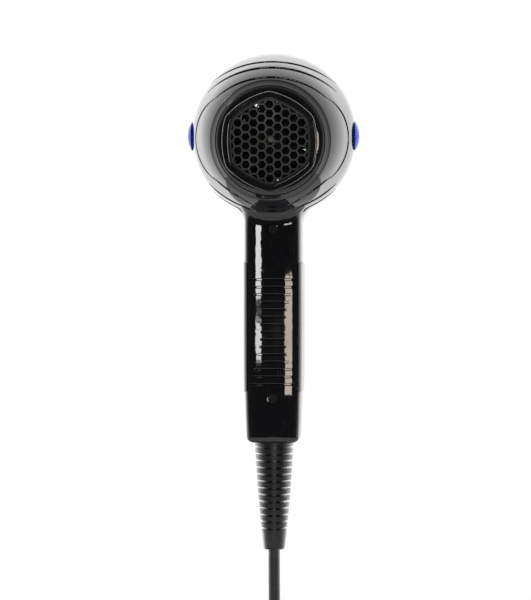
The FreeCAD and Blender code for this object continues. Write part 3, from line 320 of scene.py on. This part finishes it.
FINISHES = {
    "housing_black": polished("housing_black", rgb(0.006, 0.006, 0.008)),
    "cover_black": polished("cover_black", rgb(0.006, 0.006, 0.008)),
    "inlay_black": polished("inlay_black", rgb(0.008, 0.008, 0.009), low=0.16, high=0.24),
    "cap_black": polished("cap_black", rgb(0.006, 0.006, 0.008)),
    "collar_black": polished("collar_black", rgb(0.010, 0.010, 0.011), low=0.14, high=0.26),
    "cap_blue": polished("cap_blue", rgb(0.008, 0.020, 0.34), rgb(0.06, 0.09, 0.4), 0.12, 0.22,
                         specular=0.06),
    "button_blue": polished("button_blue", rgb(0.010, 0.028, 0.42), rgb(0.12, 0.16, 0.5)),
    "grille_grey": satin("grille_grey", rgb(0.040, 0.041, 0.046), rgb(0.062, 0.063, 0.068)),
    "heat_black": satin("heat_black", rgb(0.016, 0.016, 0.016), rgb(0.04, 0.04, 0.04)),
    "duct_grey": satin("duct_grey", rgb(0.016, 0.016, 0.015), rgb(0.025, 0.025, 0.023),
                       low=0.55, high=0.75),
    "fan_olive": satin("fan_olive", rgb(0.020, 0.021, 0.015), rgb(0.03, 0.031, 0.024),
                        low=0.55, high=0.75),
    "boot_rubber": satin("boot_rubber", rgb(0.006, 0.006, 0.006), rgb(0.012, 0.012, 0.012),
                         1400.0, 0.22, 0.34),
    "cord_rubber": satin("cord_rubber", rgb(0.011, 0.011, 0.012), rgb(0.026, 0.026, 0.027),
                         1600.0, 0.34, 0.50),
    "switch_black": satin("switch_black", rgb(0.014, 0.014, 0.015), rgb(0.034, 0.034, 0.035)),
    "plug_black": satin("plug_black", rgb(0.013, 0.013, 0.013), rgb(0.034, 0.034, 0.034)),
    "tie_black": satin("tie_black", rgb(0.010, 0.010, 0.011), rgb(0.03, 0.03, 0.03), 900.0),
    "wire_red": satin("wire_red", rgb(0.35, 0.02, 0.015), rgb(0.45, 0.06, 0.05)),
    "wire_white": satin("wire_white", rgb(0.6, 0.6, 0.57), rgb(0.7, 0.7, 0.68)),
    "card_brown": satin("card_brown", rgb(0.15, 0.08, 0.04), rgb(0.22, 0.13, 0.08)),
    "carbon": satin("carbon", rgb(0.02, 0.02, 0.02), rgb(0.05, 0.05, 0.05)),
    "magnet_grey": satin("magnet_grey", rgb(0.04, 0.04, 0.04), rgb(0.09, 0.09, 0.09)),
    "mica": satin("mica", rgb(0.40, 0.31, 0.17), rgb(0.55, 0.47, 0.33), 500.0, 0.25, 0.45),
    "pcb_green": satin("pcb_green", rgb(0.02, 0.12, 0.05), rgb(0.04, 0.18, 0.08)),
    "screw_steel": metal("screw_steel", rgb(0.012, 0.012, 0.013), rgb(0.008, 0.007, 0.006),
                         0.3, 0.5),
    "motor_steel": metal("motor_steel", rgb(0.30, 0.30, 0.29), rgb(0.20, 0.19, 0.18), 0.35, 0.55),
    "shaft_steel": metal("shaft_steel", rgb(0.20, 0.20, 0.20), rgb(0.12, 0.11, 0.10), 0.4, 0.6),
    "spring_steel": metal("spring_steel", rgb(0.55, 0.55, 0.55), rgb(0.30, 0.30, 0.30)),
    "heating_wire": metal("heating_wire", rgb(0.32, 0.30, 0.28), rgb(0.16, 0.12, 0.10)),
    "core_copper": metal("core_copper", rgb(0.55, 0.22, 0.09), rgb(0.25, 0.10, 0.05)),
    "contact_brass": metal("contact_brass", rgb(0.62, 0.38, 0.16), rgb(0.35, 0.2, 0.1)),
    "pin_nickel": metal("pin_nickel", rgb(0.62, 0.60, 0.56), rgb(0.40, 0.37, 0.32), 0.12, 0.25),
}


def clothe_nodes():
    for part in frame["record"]["subparts"]:
        materials = NODES[part["node"]].data.materials
        materials.clear()
        materials.append(FINISHES[part["material_slot"]])


clothe_nodes()

# ---- the cord ----
CORD_RADIUS = 3.3 * MM
COIL_CENTRE = (-49.5, 54.8)
COIL_FLOOR = -238.0
TURN_RADII = (49.5, 42.9, 36.3, 29.7)
LAYERS = 3
TURN_POINTS = 20
STEP_SHARE = 0.15             # share of a turn in which a turn steps to its next place
LAST_TURN_SHARE = 0.875
CORD_DROP = [(0, 0, -119.6), (0, 0, -143), (0.3, -1.2, -165), (0.3, 0.8, -186),
             (0.1, 11.8, -208), (0, 33.3, -221.5)]
CORD_TAIL = [(-28.5, 33.8, -217.5), (-16.5, 46, -213.4), (-1.5, 64, -213.4), (5.5, 76.4, -218),
             (10, 84.2, -220), (12, 87.6, -220)]


def eased(value):
    value = min(1.0, max(0.0, value))
    return value * value * (3 - 2 * value)


def coil_steps():
    """When each turn steps down, up or inwards, in turns from the start, with its change."""
    pitch = 2 * CORD_RADIUS / MM
    steps = []
    phase = 1.0
    turn = 0
    for column in range(len(TURN_RADII)):
        direction = -1 if column % 2 == 0 else 1
        for layer in range(LAYERS - 1):
            steps.append((turn + phase, 0.0, direction * pitch))
            turn += 1
        steps.append((turn + phase - STEP_SHARE, -pitch, 0.0))
        turn += 1
        phase -= 2 * STEP_SHARE
    return steps[:-1]


def coil_points():
    steps = coil_steps()
    turns = len(TURN_RADII) * LAYERS - 1 + LAST_TURN_SHARE
    count = int(turns * TURN_POINTS)
    points = []
    for index in range(count + 1):
        at = turns * index / count
        radius = TURN_RADII[0]
        z = COIL_FLOOR + (2 * LAYERS - 1) * CORD_RADIUS / MM
        for end, inward, lift in steps:
            share = eased((at - end + STEP_SHARE) / STEP_SHARE)
            radius += inward * share
            z += lift * share
        angle = 2 * math.pi * at
        points.append((COIL_CENTRE[0] + radius * math.cos(angle),
                       COIL_CENTRE[1] + radius * math.sin(angle), z))
    return points


def make_cord():
    points = CORD_DROP + coil_points() + CORD_TAIL[1:]
    data = bpy.data.curves.new("cord", "CURVE")
    data.dimensions = "3D"
    spline = data.splines.new("NURBS")
    spline.points.add(len(points) - 1)
    for slot, point in zip(spline.points, points):
        slot.co = (point[0] * MM, point[1] * MM, point[2] * MM, 1.0)
    spline.order_u = 3
    spline.use_endpoint_u = True
    spline.resolution_u = 4
    data.bevel_depth = CORD_RADIUS
    data.bevel_resolution = 5
    data.use_fill_caps = True
    cord = bpy.data.objects.new("cord", data)
    bpy.context.scene.collection.objects.link(cord)
    data.materials.append(FINISHES["cord_rubber"])
    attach(cord, "dryer")
    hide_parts("power_cord", "cord_coil", "cord_tail")


make_cord()


# ---- mesh helpers ----
def new_piece(name, shape, body, slot, place=None, smooth=True):
    """Closes a bmesh into a piece that rides on a body and wears a slot's finish."""
    if place is not None:
        bmesh.ops.transform(shape, matrix=place, verts=shape.verts)
    bmesh.ops.recalc_face_normals(shape, faces=shape.faces)
    mesh = bpy.data.meshes.new(name)
    for face in shape.faces:
        face.smooth = smooth
    shape.to_mesh(mesh)
    shape.free()
    mesh.materials.append(FINISHES[slot])
    piece = bpy.data.objects.new(name, mesh)
    bpy.context.scene.collection.objects.link(piece)
    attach(piece, body)
    return piece


def add_turned(shape, profile, steps, axis=(0, 1, 0)):
    """Spins a closed profile of (radius, height) points about an axis through the origin."""
    axis = Vector(axis)
    across = Vector((1, 0, 0))
    verts = [shape.verts.new(across * r * MM + axis * h * MM) for r, h in profile]
    edges = [shape.edges.new((a, b)) for a, b in zip(verts, verts[1:] + verts[:1])]
    bmesh.ops.spin(shape, geom=verts + edges, cent=(0, 0, 0), axis=axis, dvec=(0, 0, 0),
                   angle=2 * math.pi, steps=steps, use_merge=True, use_duplicate=False)
    bmesh.ops.remove_doubles(shape, verts=shape.verts, dist=1e-6)


def add_bar(shape, size, centre, rounding=0.0):
    """A block of a given size in millimetres, with its edges rounded."""
    made = bmesh.ops.create_cube(shape, size=1.0)["verts"]
    bmesh.ops.scale(shape, vec=Vector(size) * MM, verts=made)
    bmesh.ops.translate(shape, vec=Vector(centre) * MM, verts=made)
    if rounding:
        edges = list({edge for vert in made for edge in vert.link_edges})
        bmesh.ops.bevel(shape, geom=edges, offset=rounding * MM, offset_type="OFFSET", segments=2,
                        profile=0.5, affect="EDGES", material=-1, clamp_overlap=True)


def around(shape, made, count, axis, centre=(0, 0, 0)):
    """Repeats some geometry evenly round an axis."""
    for index in range(1, count):
        copy = bmesh.ops.duplicate(shape, geom=made)["geom"]
        verts = [part for part in copy if isinstance(part, bmesh.types.BMVert)]
        turn = Matrix.Rotation(2 * math.pi * index / count, 3, axis)
        bmesh.ops.rotate(shape, cent=centre, matrix=turn, verts=verts)


HEAD_CENTRE = Vector((0, 0, 112.6 * MM))
BARREL = Matrix.Translation(HEAD_CENTRE) @ Matrix.Rotation(math.radians(7.0), 4, "X")


# ---- fan ----
FAN_REAR = -35.9
FAN_LENGTH = 12.0
FAN_HUB = 9.5
FAN_TIP = 26.4
FAN_BLADES = 11
BLADE_THICKNESS = 1.1
BLADE_CHORD = 13.5
BLADE_TAPER = 0.12            # share of its chord that a blade loses towards its tip
BLADE_CAMBER = 1.6
BLADE_ROOT = 0.8              # how far a blade's root is sunk in the hub
ROOT_PITCH = 62.0             # degrees from the plane of rotation
TWIST = 30.0                  # degrees that the pitch falls by towards the tip


def add_blade(shape):
    """One blade: a thin sheet along X, cambered, and flatter towards its tip."""
    grid = bmesh.ops.create_grid(shape, x_segments=8, y_segments=6, size=0.5)["verts"]
    middle = FAN_REAR + FAN_LENGTH / 2
    for vert in grid:
        out = vert.co.x + 0.5
        along = vert.co.y
        lean = math.radians(ROOT_PITCH - TWIST * out)
        chord = BLADE_CHORD * (1 - BLADE_TAPER * out) * along
        camber = BLADE_CAMBER * (1 - 4 * along * along)
        radius = FAN_HUB - BLADE_ROOT + (FAN_TIP - FAN_HUB + BLADE_ROOT) * out
        y = middle + chord * math.sin(lean) * 0.82 + camber * math.cos(lean)
        sweep = chord * math.cos(lean) - camber * math.sin(lean)
        angle = sweep / radius
        vert.co = Vector((radius * math.cos(angle), y, radius * math.sin(angle))) * MM
    faces = list({face for vert in grid for face in vert.link_faces})
    bmesh.ops.solidify(shape, geom=faces, thickness=BLADE_THICKNESS * MM)


def make_fan():
    shape = bmesh.new()
    add_blade(shape)
    around(shape, shape.verts[:] + shape.edges[:] + shape.faces[:], FAN_BLADES, "Y")
    rear = FAN_REAR
    front = FAN_REAR + FAN_LENGTH
    profile = [(1.6, rear), (3.4, rear - 0.2), (3.6, rear + 0.6), (6.4, rear + 0.9),
               (8.2, rear + 1.7), (9.2, rear + 3.0), (9.5, rear + 4.6), (9.5, front), (8.0, front),
               (8.0, rear + 4.0), (4.0, rear + 2.6), (4.0, front), (1.6, front)]
    add_turned(shape, profile, 48)
    fan = new_piece("fan_wheel", shape, "rotor", "fan_olive", BARREL)
    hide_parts("fan")


make_fan()


# ---- heating coils ----
COIL_RING = 17.4
COIL_ROWS = 9
COIL_FIRST = 51.0
COIL_STEP = 6.75
WIRE_RADIUS = 0.17
WIND_RADIUS = 0.52
WINDS = 64
WIND_POINTS = 6


def make_heating_coils():
    """Each row is a fine spring of resistance wire laid in the notches of the boards."""
    data = bpy.data.curves.new("heating_springs", "CURVE")
    data.dimensions = "3D"
    data.bevel_depth = WIRE_RADIUS * MM
    data.bevel_resolution = 1
    count = WINDS * WIND_POINTS
    for row in range(COIL_ROWS):
        spline = data.splines.new("POLY")
        spline.points.add(count - 1)
        spline.use_cyclic_u = True
        for index, point in enumerate(spline.points):
            turn = 2 * math.pi * index / count
            wind = 2 * math.pi * index / WIND_POINTS
            radius = COIL_RING + WIND_RADIUS * math.cos(wind)
            y = COIL_FIRST + COIL_STEP * row + WIND_RADIUS * math.sin(wind)
            place = BARREL @ (Vector((radius * math.cos(turn), y, radius * math.sin(turn))) * MM)
            point.co = (*place, 1.0)
    springs = bpy.data.objects.new("heating_springs", data)
    bpy.context.scene.collection.objects.link(springs)
    data.materials.append(FINISHES["heating_wire"])
    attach(springs, "dryer")
    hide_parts("heating_coils")


make_heating_coils()


# ---- armature windings ----
WINDING_SPAN = (-8.0, 9.0)
WINDING_POLES = 5
WINDING_RADIUS = 6.6          # from the shaft to the middle of a coil end
WINDING_SIZE = (3.2, 2.2, 4.4)
WINDING_BULGE = 0.6


def make_windings():
    """A wound coil end bulges from each end of every pole of the armature."""
    shape = bmesh.new()
    made = []
    for end, side in zip(WINDING_SPAN, (-1, 1)):
        knob = bmesh.ops.create_uvsphere(shape, u_segments=16, v_segments=8, radius=1.0)["verts"]
        bmesh.ops.scale(shape, vec=Vector(WINDING_SIZE) * MM, verts=knob)
        centre = Vector((WINDING_RADIUS, end + side * WINDING_BULGE, 0))
        bmesh.ops.translate(shape, vec=centre * MM, verts=knob)
        made += knob
    made += shape.edges[:] + shape.faces[:]
    bmesh.ops.rotate(shape, cent=(0, 0, 0), verts=shape.verts,
                     matrix=Matrix.Rotation(math.pi / WINDING_POLES, 3, "Y"))
    around(shape, made, WINDING_POLES, "Y")
    new_piece("armature_windings", shape, "rotor", "core_copper", BARREL)


make_windings()


# ---- plug ----
PLUG_ENTRY = Vector((10.0, 84.0, -220.0)) * MM
PLUG_HEADING = 60.0
PLUG_FACE = 46.0
PLUG_RADIUS = 18.0
CLIP_INSET = 2.6              # from the plug's side to the middle of a clip
CLIP_BACK = 7.2               # from the plug's face to the middle of a clip
CLIP_WIDTH = 4.6
PLUG = Matrix.Translation(PLUG_ENTRY) @ Matrix.Rotation(math.radians(PLUG_HEADING - 90), 4, "Z")


def make_earth_clips():
    """Sprung strips in the plug's two side grooves, each with a thicker pad standing out at its
    middle.
    """
    shape = bmesh.new()
    for side in (-1, 1):
        x = side * (PLUG_RADIUS - CLIP_INSET)
        y = PLUG_FACE - CLIP_BACK
        add_bar(shape, (0.8, 13.0, CLIP_WIDTH), (x, y, 0), 0.25)
        add_bar(shape, (1.4, 3.0, CLIP_WIDTH), (x + side * 0.7, y, 0), 0.5)
    new_piece("plug_earth_clips", shape, "dryer", "pin_nickel", PLUG, smooth=False)


def make_plug_ribs():
    """Finger ribs moulded round the plug's waist."""
    shape = bmesh.new()
    for y, r in ((4.0, 5.7), (7.0, 6.15), (10.0, 6.85), (13.0, 7.75)):
        profile = [(r - 1.0, y - 0.8), (r + 0.5, y - 0.6), (r + 0.8, y), (r + 0.6, y + 0.6),
                   (r - 1.0, y + 0.8)]
        add_turned(shape, profile, 40)
    new_piece("plug_ribs", shape, "dryer", "plug_black", PLUG)


make_earth_clips()
make_plug_ribs()


# ---- marks beside the rockers ----
PANEL_FACE_Y = 20.0
ROCKERS_Z = (0.0, 21.6)
MARK_X = 7.0
MARK_SIZE = (1.9, 0.08, 0.5)
MARK_SPACING = 6.5            # from one level's mark to the next
BAR_SPACING = 1.1             # between the bars of one mark


def make_panel_marks():
    """Printed bars beside each rocker: one, two and three for low, medium and high."""
    shape = bmesh.new()
    for rocker_z in ROCKERS_Z:
        for level in range(3):
            for bar in range(level + 1):
                z = rocker_z + (level - 1) * MARK_SPACING + (bar - level / 2) * BAR_SPACING
                add_bar(shape, MARK_SIZE, (MARK_X, PANEL_FACE_Y + 0.03, z))
    new_piece("panel_marks", shape, "dryer", "wire_white", smooth=False)


make_panel_marks()


# ---- the stage ----
def make_floor():
    mesh = bpy.data.meshes.new("floor")
    shape = bmesh.new()
    bmesh.ops.create_circle(shape, cap_ends=True, segments=96, radius=FLOOR_RADIUS)
    shape.to_mesh(mesh)
    shape.free()
    mesh.transform(Matrix.Translation(FLOOR_CENTRE))
    floor = bpy.data.objects.new("floor", mesh)
    bpy.context.scene.collection.objects.link(floor)
    material = satin("floor_paper", rgb(0.60, 0.60, 0.60), rgb(0.64, 0.64, 0.64), 300.0)
    mesh.materials.append(material)


make_floor()
